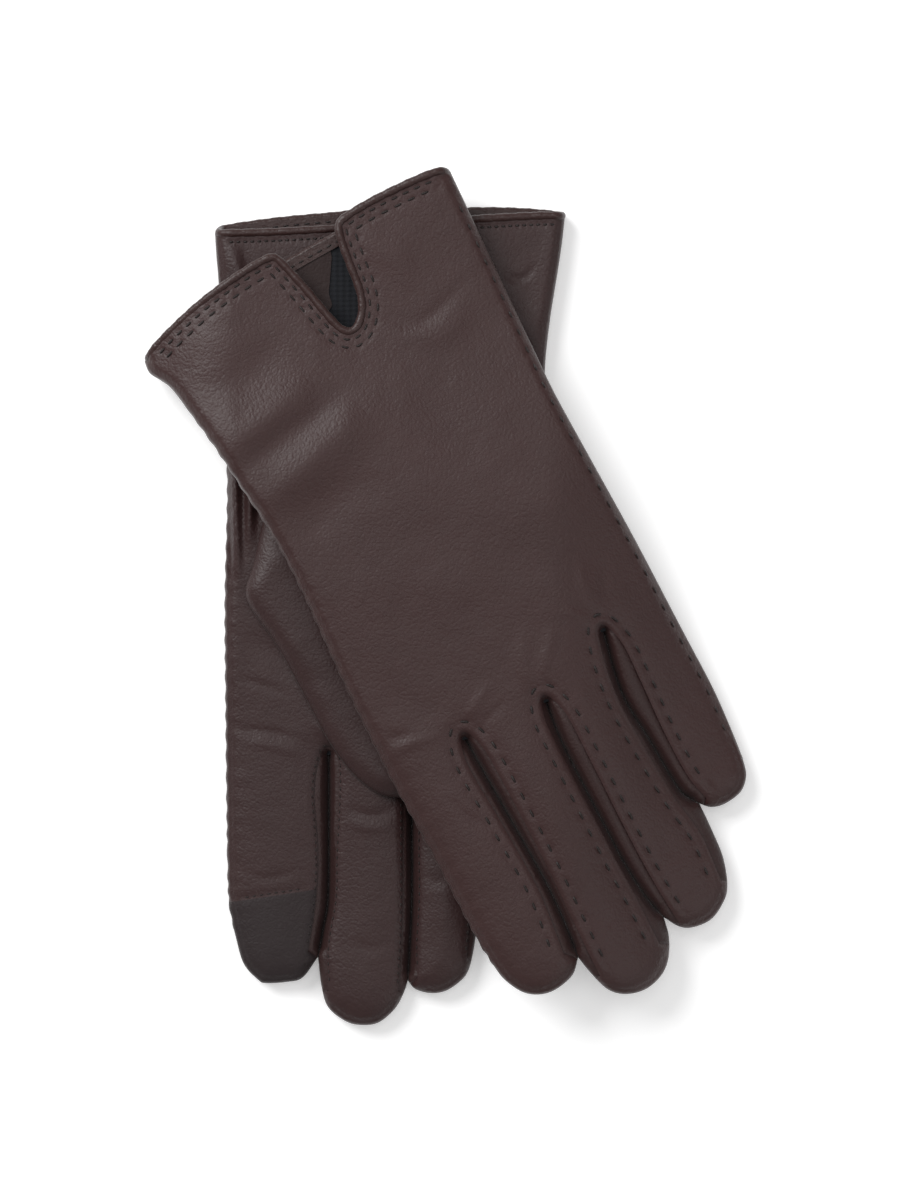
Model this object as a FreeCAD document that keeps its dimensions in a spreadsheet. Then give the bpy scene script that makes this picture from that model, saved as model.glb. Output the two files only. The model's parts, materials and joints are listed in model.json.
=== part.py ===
import FreeCAD, Part
import math
import os
import Sketcher
from FreeCAD import Vector

# A pair of lined leather dress gloves with a touch panel on each index finger.
# The right glove lies palm up on the table, with its thumb folded over the palm.
# The left glove lies back up across it, turned by the yaw angle, and droops to the
# table past the right glove's edges. X runs across the fingers, Y from the
# fingertips to the cuffs, Z up from the table.

doc = FreeCAD.newDocument("gloves")

# ---------------------------------------------------------------- driving sizes
sheet = doc.addObject("Spreadsheet::Sheet", "Sizes")
SIZES = [
    ("leather", 0.8, "thickness of the glove leather"),
    ("knit", 1.0, "thickness of the knit lining"),
    ("depth", 9.0, "height of one glove lying flat"),
    ("thumb_leather", 0.6, "leather of the flattened thumb"),
    ("thumb_knit", 0.4, "lining of the flattened thumb"),
    ("thumb_depth", 3.6, "height of the flattened thumb"),
    ("clearance", 0.3, "air between layers that move apart"),
    ("stack", 60.0, "height of the cutting prisms"),
    ("thread", 0.35, "depth that a thread sits in the leather"),
    ("binding", 2.4, "width of the rolled binding"),
    ("facing", 14.0, "edge to the inner end of the leather facing"),
    ("hem_row_one", 3.4, "cuff edge to the first row of stitches"),
    ("hem_row_two", 5.8, "cuff edge to the second row of stitches"),
    ("row_width", 0.6, "width of a row of stitches"),
    ("finger_row", 3.2, "finger edge to its row of stitches"),
    ("knuckle_gap", 0.5, "air at each finger's fold"),
    ("yaw", 26.9, "turn of the left glove, degrees"),
    ("left_x", -43.05, "left glove's reference point at its cuff"),
    ("left_y", 100.35, "left glove's reference point at its cuff"),
    ("right_x", -16.05, "right glove's reference point at its cuff"),
    ("right_y", 112.35, "right glove's reference point at its cuff"),
    ("plateau", 17.1, "underside of the left glove where the right one holds it"),
    ("plateau_start", -62.0, "left end of the level stretch"),
    ("plateau_end", 30.0, "right end of the level stretch"),
    ("droop_end", 90.0, "where the left glove reaches the table"),
    ("droop_start", -108.0, "where its cuff corner would reach the table"),
    ("table_air", 0.6, "left glove above the table"),
    ("thumb_radius", 13.0, "half of the thumb's width"),
    ("thumb_tip_u", 0.0, "centre of the thumb's round end"),
    ("thumb_tip_v", 159.5, "centre of the thumb's round end"),
    ("thumb_angle", 32.0, "thumb against the glove's length, degrees"),
    ("thumb_reach", 64.0, "thumb's base to the centre of its round end"),
]
used_rows = 0


def cell(alias, value, note=""):
    """One named size in the sheet."""
    global used_rows
    used_rows += 1
    sheet.set(f"A{used_rows}", alias)
    sheet.set(f"B{used_rows}", f"{value:.4f}")
    sheet.set(f"C{used_rows}", note)
    sheet.setAlias(f"B{used_rows}", alias)
    return f"Sizes.{alias}"


for alias, value, note in SIZES:
    cell(alias, value, note)
doc.recompute()
size = {alias: float(sheet.get(alias)) for alias, value, note in SIZES}

# ------------------------------------------------------------- outlines in plan
# Each glove is drawn in its own plan: u across, towards the little finger, and v
# from the cuff towards the fingertips. A side runs along one edge of the glove.
GLOVES = {
    "right": {
        "index_side": [(-53.2, -14), (-52.5, 2), (-51.2, 19), (-48.8, 79), (-49.5, 113),
                       (-49.3, 143), (-48.6, 187), (-47.8, 211)],
        "index_bulge": 14.2,
        "index_inner": [(-22.4, 217.5), (-19.4, 204), (-18.9, 158.5)],
        "middle_outer": [(-18.2, 158.5), (-18.3, 204), (-20.7, 228)],
        "middle_bulge": 13.0,
        "middle_inner": [(4.7, 228), (6.2, 203), (6.2, 161)],
        "ring_outer": [(6.9, 161), (6.9, 203), (6.0, 222)],
        "ring_bulge": 12.2,
        "ring_inner": [(25.0, 217), (26.8, 190), (28.2, 150)],
        "little_outer": [(28.9, 150), (27.6, 186), (29.2, 193)],
        "little_bulge": 11.4,
        "little_side": [(49.0, 191), (49.6, 165), (49.5, 140), (48.8, 100), (47.2, 60),
                        (46.6, 45), (49.8, 19), (52.8, -3), (53.6, -14)],
        "back_cuff": [(-75, 4), (-51, 0.9), (-18, -3.6), (-4.3, -4.9), (-1.1, 8.9),
                      (2.1, 22.3), (4.1, 25), (7.6, 23.4), (10.9, 18.3), (11.9, 9),
                      (14.8, -3.9), (37.4, -5.5), (52.8, -4), (75, 0)],
        "palm_cuff": [(-75, 4), (-52.5, 1.8), (-20, 0.6), (20, -2), (52.8, -3.6), (75, -5)],
        "knuckles": {"index": 182, "middle": 187, "ring": 183, "little": 165},
    },
    "left": {
        "index_side": [(-54.2, -12), (-55.0, 4.4), (-55.3, 9), (-51.6, 16), (-48.6, 33),
                       (-43.9, 80), (-45.5, 123), (-45.6, 153), (-44.5, 180), (-44.2, 210)],
        "index_bulge": 14.4,
        "index_inner": [(-21.0, 217), (-19.0, 195), (-20.0, 171), (-20.7, 149.5)],
        "middle_outer": [(-20.0, 149.5), (-19.3, 171), (-18.2, 195), (-19.0, 226)],
        "middle_bulge": 15.0,
        "middle_inner": [(6.3, 226), (4.7, 202), (4.5, 163), (5.9, 150)],
        "ring_outer": [(6.6, 150), (5.2, 163), (5.4, 202), (7.6, 222)],
        "ring_bulge": 12.8,
        "ring_inner": [(31.4, 217), (31.4, 203), (29.4, 193), (28.1, 175.5), (27.2, 158),
                       (30.6, 139.5)],
        "little_outer": [(31.3, 139.5), (28.0, 158), (29.3, 175.5), (31.1, 192), (33.7, 196.5)],
        "little_bulge": 7.6,
        "little_side": [(50.4, 193), (51.6, 175), (51.7, 150), (51.0, 111), (49.9, 80),
                        (49.9, 66), (52.5, -5.3), (53.0, -14)],
        "back_cuff": [(-75, 11), (-55, 4.4), (-31.9, -3.4), (-12, -6.1), (-4.3, -4.9),
                      (-1.1, 8.9), (2.1, 22.3), (4.1, 25), (7.6, 23.4), (10.9, 18.3),
                      (11.9, 9), (14.8, -3.9), (18.4, -6.5), (37.4, -7.3), (52.5, -5.3),
                      (75, -2)],
        "palm_cuff": [(-75, 10), (-55, 5.5), (-20, 0.5), (20, -2.5), (52.5, -4.5), (75, -5)],
        "knuckles": {"index": 176, "middle": 180, "ring": 176, "little": 162},
    },
}
FINGERS = ["index", "middle", "ring", "little"]
GAPS = ["index_middle", "middle_ring", "ring_little"]
TOUCH_SEAM = {"right": ((-60, 206.0), (-12, 198.9)), "left": ((-60, 203.0), (-12, 203.0))}
FAR = 300.0
GUSSET_REACH = 2.6
ROW_REACH = 7.0
HALF_PLAN = 90.0
PLAN_FOOT = -40.0
CUFF_HALF = 75.0
GUSSET_STOP = 4.0
PROFILE_STEPS = 44
PROFILE_HALF = 120.0
PROFILE_SIDE = 150.0


def glove_place(glove):
    """Where a glove's plan lies on the table."""
    turn = size["yaw"] if glove == "left" else 0.0
    spot = Vector(size[f"{glove}_x"], size[f"{glove}_y"], 0)
    return FreeCAD.Placement(spot, FreeCAD.Rotation(Vector(0, 0, 1), turn))


def plan(name, glove, points, bulges):
    """A closed outline in a glove's plan. Each corner and each arc's radius is a cell.
    bulges maps the number of a segment to how far its arc stands out."""
    sketch = doc.addObject("Sketcher::SketchObject", name)
    count = len(points)
    for i, (u, v) in enumerate(points):
        u2, v2 = points[(i + 1) % count]
        start, end = Vector(u, -v, 0), Vector(u2, -v2, 0)
        if i not in bulges:
            sketch.addGeometry(Part.LineSegment(start, end), False)
            continue
        half = (end - start).Length / 2
        radius = (half**2 + bulges[i]**2) / (2 * bulges[i])
        out = Vector(end.y - start.y, start.x - end.x, 0).normalize()
        centre = (start + end) / 2 + out * (bulges[i] - radius)
        first = math.atan2(start.y - centre.y, start.x - centre.x)
        last = math.atan2(end.y - centre.y, end.x - centre.x)
        circle = Part.Circle(centre, Vector(0, 0, 1), radius)
        sketch.addGeometry(Part.ArcOfCircle(circle, first, last), False)
        bulges[i] = (bulges[i], radius)
    for i in range(count):
        sketch.addConstraint(Sketcher.Constraint("Coincident", i, 2, (i + 1) % count, 1))
    for i, (u, v) in enumerate(points):
        across = sketch.addConstraint(Sketcher.Constraint("DistanceX", -1, 1, i, 1, u))
        sketch.setExpression(f"Constraints[{across}]", cell(f"{name}_u_{i}", u))
        along = sketch.addConstraint(Sketcher.Constraint("DistanceY", -1, 1, i, 1, -v))
        sketch.setExpression(f"Constraints[{along}]", "-" + cell(f"{name}_v_{i}", v))
    for i, (bulge, radius) in bulges.items():
        around = sketch.addConstraint(Sketcher.Constraint("Radius", i, radius))
        sketch.setExpression(f"Constraints[{around}]", cell(f"{name}_radius_{i}", radius))
    sketch.Placement = glove_place(glove)
    return sketch


def prism(source, name):
    """A tall upright prism over a closed outline."""
    made = doc.addObject("Part::Extrusion", name)
    made.Base = source
    made.DirMode = "Custom"
    made.Dir = Vector(0, 0, 1)
    made.setExpression("LengthFwd", "Sizes.stack")
    made.Solid = True
    return made


def inset(source, expression, name):
    """The outline a given way inside another one."""
    filled = doc.addObject("Part::Face", f"{name}_face")
    filled.Sources = [source]
    filled.FaceMakerClass = "Part::FaceMakerBullseye"
    made = doc.addObject("Part::Offset2D", name)
    made.Source = filled
    made.Mode = "Skin"
    made.Join = "Arc"
    made.setExpression("Value", f"-({expression})")
    return made


def common(name, *shapes):
    made = doc.addObject("Part::MultiCommon", name)
    made.Shapes = list(shapes)
    return made


def cut(name, base, tool):
    made = doc.addObject("Part::Cut", name)
    made.Base = base
    made.Tool = tool
    return made


def fuse(name, *shapes):
    made = doc.addObject("Part::MultiFuse", name)
    made.Shapes = list(shapes)
    return made


# -------------------------------------------------------------- layers of a glove
# A layer lies between two levels counted from the outside of the back of the hand
# to the outside of the palm, then on to the thumb folded over the palm. On the
# right glove the levels rise from the table. On the left glove they run down from
# its back, and follow the way that it droops.
LEVELS = {
    "back": "0 * Sizes.depth",
    "back_thread": "Sizes.thread",
    "back_in": "Sizes.leather",
    "back_hollow": "Sizes.leather + Sizes.knit",
    "middle": "Sizes.depth / 2",
    "palm_hollow": "Sizes.depth - Sizes.leather - Sizes.knit",
    "palm_in": "Sizes.depth - Sizes.leather",
    "palm": "Sizes.depth",
    "thumb": "Sizes.depth + Sizes.clearance",
    "thumb_in": "Sizes.depth + Sizes.clearance + Sizes.thumb_leather",
    "thumb_hollow": "Sizes.depth + Sizes.clearance + Sizes.thumb_leather + Sizes.thumb_knit",
    "thumb_hollow_end": "Sizes.depth + Sizes.clearance + Sizes.thumb_depth"
                        " - Sizes.thumb_leather - Sizes.thumb_knit",
    "thumb_in_end": "Sizes.depth + Sizes.clearance + Sizes.thumb_depth - Sizes.thumb_leather",
    "thumb_end": "Sizes.depth + Sizes.clearance + Sizes.thumb_depth",
}


def level(name):
    """A level as a number, from the same words as its expression."""
    text = LEVELS[name]
    total = 0.0
    sign = 1.0
    for word in text.split(" "):
        if word == "-":
            sign = -1.0
        elif word == "+":
            sign = 1.0
        elif word.startswith("Sizes."):
            total += sign * size[word[6:]]
    if name == "back":
        return 0.0
    if name == "middle":
        return total / 2
    return total


def ease(share):
    """0 to 1 with level ends."""
    share = min(max(share, 0.0), 1.0)
    return (1 - math.cos(math.pi * share)) / 2


def droop(x):
    """Height of the left glove's underside over the table."""
    fall = size["plateau"] - size["table_air"]
    right = ease((size["droop_end"] - x) / (size["droop_end"] - size["plateau_end"]))
    left = ease((x - size["droop_start"]) / (size["plateau_start"] - size["droop_start"]))
    return size["table_air"] + fall * right * left


def layer(glove, low, high):
    """The whole sheet of material between two levels of a glove."""
    name = f"{glove}_{low}_to_{high}"
    if glove == "right":
        made = doc.addObject("Part::Box", name)
        made.setExpression("Length", "4 * Sizes.stack + 60")
        made.setExpression("Width", "5 * Sizes.stack")
        made.setExpression("Height", f"({LEVELS[high]}) - ({LEVELS[low]})")
        made.setExpression("Placement.Base.x", "-(2 * Sizes.stack + 30)")
        made.setExpression("Placement.Base.y", "-(2.5 * Sizes.stack)")
        made.setExpression("Placement.Base.z", LEVELS[low])
        return made
    curves = []
    for edge in (high, low):
        rise = level("palm") - level(edge)
        points = []
        for i in range(PROFILE_STEPS + 1):
            x = PROFILE_HALF * (2 * i / PROFILE_STEPS - 1)
            points.append(Vector(x, -PROFILE_SIDE, droop(x) + rise))
        curve = Part.BSplineCurve()
        curve.interpolate(points)
        curves.append(curve.toShape())
    below, above = curves
    low_ends = [v.Point for v in below.Vertexes]
    high_ends = [v.Point for v in above.Vertexes]
    sides = [Part.makeLine(low_ends[k], high_ends[k]) for k in (0, 1)]
    face = Part.Face(Part.Wire(Part.__sortEdges__([below, sides[1], above, sides[0]])))
    made = doc.addObject("Part::Feature", name)
    made.Shape = face.extrude(Vector(0, 2 * PROFILE_SIDE, 0))
    return made


# ------------------------------------------------------------------- one glove
nodes = {}


def node(name, shape):
    """Names a finished piece."""
    shape.Label = name
    nodes[name] = shape
    return shape


def at(points, v):
    """Where an edge stands across, at a given distance from the cuff."""
    ordered = sorted(points, key=lambda p: p[1])
    if v <= ordered[0][1]:
        return ordered[0][0]
    for (u1, v1), (u2, v2) in zip(ordered, ordered[1:]):
        if v <= v2:
            return u1 + (u2 - u1) * (v - v1) / (v2 - v1)
    return ordered[-1][0]


def make_glove(glove):
    shape = GLOVES[glove]
    # The silhouette: both sides, four round fingertips and three gaps.
    points = list(shape["index_side"])
    bulges = {}
    for finger, neighbour in zip(FINGERS, FINGERS[1:]):
        bulges[len(points) - 1] = shape[f"{finger}_bulge"]
        points += shape[f"{finger}_inner"]
        points += shape[f"{neighbour}_outer"]
    bulges[len(points) - 1] = shape["little_bulge"]
    points += shape["little_side"]
    outline = plan(f"{glove}_outline", glove, points, bulges)
    whole = prism(outline, f"{glove}_whole")
    inside = prism(inset(outline, "Sizes.leather", f"{glove}_inside_line"), f"{glove}_inside")
    hollow = prism(inset(outline, "Sizes.leather + Sizes.knit", f"{glove}_hollow_line"),
                   f"{glove}_hollow")
    row_out = prism(inset(outline, "Sizes.finger_row", f"{glove}_row_line"), f"{glove}_row")
    row_in = prism(inset(outline, "Sizes.finger_row + Sizes.row_width", f"{glove}_row_line_2"),
                   f"{glove}_row_2")

    # The layers.
    full = layer(glove, "back", "palm")
    back_half = layer(glove, "back", "middle")
    palm_half = layer(glove, "middle", "palm")
    between = layer(glove, "back_in", "palm_in")
    cavity = layer(glove, "back_hollow", "palm_hollow")
    thread_layer = layer(glove, "back", "back_thread")

    # The leather as a closed skin, the lining as a tube inside it.
    room = common(f"{glove}_room", inside, between)
    skin = cut(f"{glove}_skin", common(f"{glove}_block", whole, full), room)
    space = common(f"{glove}_space", hollow, cavity)
    tube = cut(f"{glove}_tube", room, space)
    rim = cut(f"{glove}_rim", common(f"{glove}_block_2", whole, full), space)
    walls = common(f"{glove}_walls", cut(f"{glove}_wall_ring", whole, inside), between)

    # Which part of the plan belongs to the hand and which to each finger.
    knuckles = shape["knuckles"]
    gap_lines = {}
    for gap, finger, neighbour in zip(GAPS, FINGERS, FINGERS[1:]):
        gap_lines[gap] = (shape[f"{finger}_inner"], shape[f"{neighbour}_outer"])

    def centre(gap, v):
        inner, outer = gap_lines[gap]
        return (at(inner, v) + at(outer, v)) / 2

    bounds = [-HALF_PLAN] + GAPS + [HALF_PLAN]
    hand_points = [(-HALF_PLAN, PLAN_FOOT)]
    for finger, left, right in zip(FINGERS, bounds, bounds[1:]):
        v = knuckles[finger]
        hand_points.append((left if left == -HALF_PLAN else centre(left, v), v))
        hand_points.append((right if right == HALF_PLAN else centre(right, v), v))
    hand_points.append((HALF_PLAN, PLAN_FOOT))
    hand_zone = prism(plan(f"{glove}_hand_zone", glove, hand_points, {}), f"{glove}_hand_prism")
    zones = {}
    for finger, left, right in zip(FINGERS, bounds, bounds[1:]):
        v = knuckles[finger] + size["knuckle_gap"]
        ends = []
        for side in (left, right):
            if side in (-HALF_PLAN, HALF_PLAN):
                ends.append([(side, v), (side, FAR)])
                continue
            inner, outer = gap_lines[side]
            stops = sorted({p[1] for p in inner + outer if p[1] > v})
            line = [(centre(side, v), v)] + [(centre(side, s), s) for s in stops]
            ends.append(line + [(line[-1][0], FAR)])
        zone = ends[0] + ends[1][::-1]
        zones[finger] = prism(plan(f"{glove}_{finger}_zone", glove, zone, {}),
                              f"{glove}_{finger}_prism")

    # Strips along each gap: the gussets, and the reach of the rows beside them.
    strips = {}
    reaches = {}
    for gap in GAPS:
        inner, outer = gap_lines[gap]
        fork = min(p[1] for p in inner)
        end = min(max(p[1] for p in inner), max(p[1] for p in outer)) - GUSSET_STOP
        stops = [p for p in sorted({p[1] for p in inner + outer}) if fork < p < end]
        spine = [(centre(gap, s), s) for s in [fork] + stops + [end]]
        for reach, store, word in ((GUSSET_REACH, strips, "gusset"),
                                   (ROW_REACH, reaches, "row")):
            first = (spine[0][0], fork - reach)
            line = [first] + spine[1:]
            around = [(u - reach, s) for u, s in line]
            around += [(u + reach, s) for u, s in line[::-1]]
            store[gap] = prism(plan(f"{glove}_{gap}_{word}", glove, around, {}),
                               f"{glove}_{gap}_{word}_prism")
    gusset_block = common(f"{glove}_gusset_block",
                          fuse(f"{glove}_strips", *strips.values()), between)

    # What the cuff's edges leave: the bound edge, the panel, and the faced stretch.
    cuffs = {}
    for side in ("back", "palm"):
        edge = shape[f"{side}_cuff"] + [(CUFF_HALF, FAR), (-CUFF_HALF, FAR)]
        line = plan(f"{glove}_{side}_cuff", glove, edge, {})
        steps = {
            "edge": None,
            "bound": "Sizes.binding",
            "row_one": "Sizes.hem_row_one",
            "row_one_end": "Sizes.hem_row_one + Sizes.row_width",
            "row_two": "Sizes.hem_row_two",
            "row_two_end": "Sizes.hem_row_two + Sizes.row_width",
            "faced": "Sizes.facing",
        }
        for step, expression in steps.items():
            if side == "palm" and step.startswith("row"):
                continue
            source = line
            if expression:
                source = inset(line, expression, f"{glove}_{side}_{step}_line")
            cuffs[side, step] = prism(source, f"{glove}_{side}_{step}")

    # Rows of stitches on the back, set flush: two along the cuff, one beside each gap.
    rows = []
    for row in ("row_one", "row_two"):
        ring = cut(f"{glove}_{row}_ring", cuffs["back", row], cuffs["back", f"{row}_end"])
        rows.append(common(f"{glove}_{row}_thread", ring, row_out, thread_layer))
    finger_rows = common(f"{glove}_finger_rows",
                         cut(f"{glove}_row_ring", row_out, row_in), thread_layer,
                         fuse(f"{glove}_row_reach", *reaches.values()))
    hem_thread = fuse(f"{glove}_hem_thread", *rows)
    node(f"{glove}_hand_stitching",
         fuse(f"{glove}_hand_thread", hem_thread,
              common(f"{glove}_hand_rows", finger_rows, hand_zone)))

    # The hand.
    for side, half in (("back", back_half), ("palm", palm_half)):
        panel = common(f"{glove}_{side}_piece", skin, half, hand_zone, cuffs[side, "bound"])
        panel = cut(f"{glove}_{side}_seamed", panel, gusset_block)
        if side == "back":
            panel = cut(f"{glove}_{side}_sewn", panel,
                        fuse(f"{glove}_back_threads", hem_thread, finger_rows))
        node(f"{glove}_{side}_panel", panel)
    binding = []
    facing = []
    lining = []
    for side, half in (("back", back_half), ("palm", palm_half)):
        edge = cut(f"{glove}_{side}_edge_strip", cuffs[side, "edge"], cuffs[side, "bound"])
        binding.append(common(f"{glove}_{side}_binding", rim, half, edge))
        strip = cut(f"{glove}_{side}_facing_strip", cuffs[side, "bound"], cuffs[side, "faced"])
        facing.append(common(f"{glove}_{side}_facing", tube, half, strip))
        lining.append(common(f"{glove}_{side}_lining", tube, half, hand_zone,
                             cuffs[side, "faced"]))
    node(f"{glove}_cuff_binding", fuse(f"{glove}_bindings", *binding))
    node(f"{glove}_cuff_facing", fuse(f"{glove}_facings", *facing))
    node(f"{glove}_hand_lining", fuse(f"{glove}_linings", *lining))
    for gap in GAPS:
        node(f"{glove}_gusset_{gap}",
             common(f"{glove}_{gap}_fork", walls, strips[gap], hand_zone))

    # The fingers, each past its middle knuckle.
    for finger, left, right in zip(FINGERS, bounds, bounds[1:]):
        zone = zones[finger]
        shell = cut(f"{glove}_{finger}_seamed",
                    common(f"{glove}_{finger}_piece", skin, zone), gusset_block)
        shell = cut(f"{glove}_{finger}_sewn", shell, finger_rows)
        if finger == "index":
            (u1, v1), (u2, v2) = TOUCH_SEAM[glove]
            patch_line = [(u1, v1), (u2, v2), (u2, FAR), (u1, FAR)]
            patch = common(f"{glove}_touch_block",
                           prism(plan(f"{glove}_touch", glove, patch_line, {}),
                                 f"{glove}_touch_prism"), palm_half)
            node(f"{glove}_index_touch_panel", common(f"{glove}_touch_piece", shell, patch))
            shell = cut(f"{glove}_index_rest", shell, patch)
        node(f"{glove}_{finger}_stall", shell)
        node(f"{glove}_{finger}_lining", common(f"{glove}_{finger}_tube", tube, zone))
        node(f"{glove}_{finger}_stitching",
             common(f"{glove}_{finger}_rows", finger_rows, zone))
        for gap in (left, right):
            if gap in (-90.0, 90.0):
                continue
            word = "" if finger in ("index", "little") else gap.replace(finger, "").strip("_")
            name = f"{glove}_{finger}_gusset" + (f"_{word}" if word else "")
            node(name, common(f"{glove}_{finger}_{gap}_leaf", walls, strips[gap], zone))

    # The thumb, folded over the palm with its hinge at its base.
    lean = math.radians(size["thumb_angle"])
    ahead = (math.sin(lean), math.cos(lean))
    beside = (math.cos(lean), -math.sin(lean))
    tip = (size["thumb_tip_u"], size["thumb_tip_v"])
    half = size["thumb_radius"]
    base = (tip[0] - ahead[0] * size["thumb_reach"], tip[1] - ahead[1] * size["thumb_reach"])
    corners = [
        (base[0] - beside[0] * half, base[1] - beside[1] * half),
        (tip[0] - beside[0] * half, tip[1] - beside[1] * half),
        (tip[0] + beside[0] * half, tip[1] + beside[1] * half),
        (base[0] + beside[0] * half, base[1] + beside[1] * half),
    ]
    line = plan(f"{glove}_thumb", glove, corners, {1: 0.95 * half})
    leather_room = common(
        f"{glove}_thumb_room",
        prism(inset(line, "Sizes.thumb_leather", f"{glove}_thumb_inside"),
              f"{glove}_thumb_inside_prism"),
        layer(glove, "thumb_in", "thumb_in_end"))
    shell = cut(f"{glove}_thumb_skin",
                common(f"{glove}_thumb_block", prism(line, f"{glove}_thumb_prism"),
                       layer(glove, "thumb", "thumb_end")), leather_room)
    node(f"{glove}_thumb_stall", shell)
    node(f"{glove}_thumb_lining",
         cut(f"{glove}_thumb_tube", leather_room, common(
             f"{glove}_thumb_space",
             prism(inset(line, "Sizes.thumb_leather + Sizes.thumb_knit",
                         f"{glove}_thumb_hollow"), f"{glove}_thumb_hollow_prism"),
             layer(glove, "thumb_hollow", "thumb_hollow_end"))))


for glove in GLOVES:
    make_glove(glove)
doc.recompute()

# ------------------------------------------------------------------ check, write
for thing in doc.Objects:
    if "Invalid" in thing.State or "Error" in thing.State:
        raise RuntimeError(f"{thing.Label} failed: {thing.State}")
os.makedirs("parts", exist_ok=True)
for name, thing in nodes.items():
    solid = thing.Shape
    if solid.isNull() or not solid.isValid() or not solid.Solids:
        raise RuntimeError(f"{name} has no valid solid")
    solid.exportStep(f"parts/{name}.step")
    box = solid.BoundBox
    print(f"{name:36s} {len(solid.Solids):2d} {solid.Volume:10.1f} mm3  "
          f"x {box.XMin:7.1f} {box.XMax:7.1f}  y {box.YMin:7.1f} {box.YMax:7.1f}  "
          f"z {box.ZMin:6.2f} {box.ZMax:6.2f}")
print(len(nodes), "pieces")
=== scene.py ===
import json
import math

import bpy
import numpy as np
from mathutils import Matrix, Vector
from mathutils.geometry import delaunay_2d_cdt


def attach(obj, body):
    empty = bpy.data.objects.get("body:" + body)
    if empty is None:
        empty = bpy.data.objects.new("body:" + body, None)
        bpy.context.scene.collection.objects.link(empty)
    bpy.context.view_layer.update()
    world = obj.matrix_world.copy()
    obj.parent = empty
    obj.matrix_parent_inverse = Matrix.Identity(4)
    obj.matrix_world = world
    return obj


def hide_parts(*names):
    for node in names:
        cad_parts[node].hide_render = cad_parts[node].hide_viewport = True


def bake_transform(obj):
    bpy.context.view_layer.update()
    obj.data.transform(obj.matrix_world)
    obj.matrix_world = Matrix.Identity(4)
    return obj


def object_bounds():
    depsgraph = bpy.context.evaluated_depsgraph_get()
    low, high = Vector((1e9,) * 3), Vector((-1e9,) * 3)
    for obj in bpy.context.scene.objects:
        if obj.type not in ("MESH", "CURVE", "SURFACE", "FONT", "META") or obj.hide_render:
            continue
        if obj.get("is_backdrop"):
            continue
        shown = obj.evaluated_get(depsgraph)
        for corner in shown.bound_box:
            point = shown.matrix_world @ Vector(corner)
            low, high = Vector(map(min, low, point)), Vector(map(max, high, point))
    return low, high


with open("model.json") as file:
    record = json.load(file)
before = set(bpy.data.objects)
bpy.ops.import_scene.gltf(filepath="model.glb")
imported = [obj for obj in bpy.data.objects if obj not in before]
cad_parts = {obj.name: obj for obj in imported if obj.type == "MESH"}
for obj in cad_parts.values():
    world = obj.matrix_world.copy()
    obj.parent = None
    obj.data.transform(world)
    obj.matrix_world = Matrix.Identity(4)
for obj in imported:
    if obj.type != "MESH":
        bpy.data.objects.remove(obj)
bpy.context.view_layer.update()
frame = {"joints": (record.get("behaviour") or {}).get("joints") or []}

for loaded in bpy.context.selected_objects:
    loaded.select_set(False)

# ------------------------------------------------------- palm and back leathers
# Each glove's palm and back are cut from thin sheep leather and sewn together round
# the edge. The plans are in millimetres: u runs across towards the little finger and
# v from the cuff to the fingertips. The right glove lies palm up and the left back up.
MM = 0.001
SKIN = 0.8
HALF_DEPTH = 4.45                  # from a glove's middle to its outside
HAIR = np.array([0.0015, 0.0])     # keeps neighbouring fingers just apart
EDGE_TUCK = 0.9                    # the leather's cuff edge stops inside its binding
SCALLOP, SCALLOP_PITCH = 0.17, 5.7     # the edge seam's stitches pull the side in
FINGERS = ["index", "middle", "ring", "little"]
HAND, TOUCH = -1, 9                # marks for faces of the hand and of the touch panel
CUT_BACK = 9.0                     # finger leathers start this far before the knuckle
BEND = 8.5                         # half of each finger's bend span, whose ends are stored but not used here
ROUNDNESS = 2.2                    # how full the edges are, 2 being circular
GAP_DEEP, GAP_WIDE = 2.2, 1.1      # the valley between two fingers
TOUCH_SEAM = [(-48.2, 204.3), (-35, 202.3), (-22.4, 200.4)]
TOUCH_CUT = ((-35, 202.3), -0.15)  # a point on that seam and its slope
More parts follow.
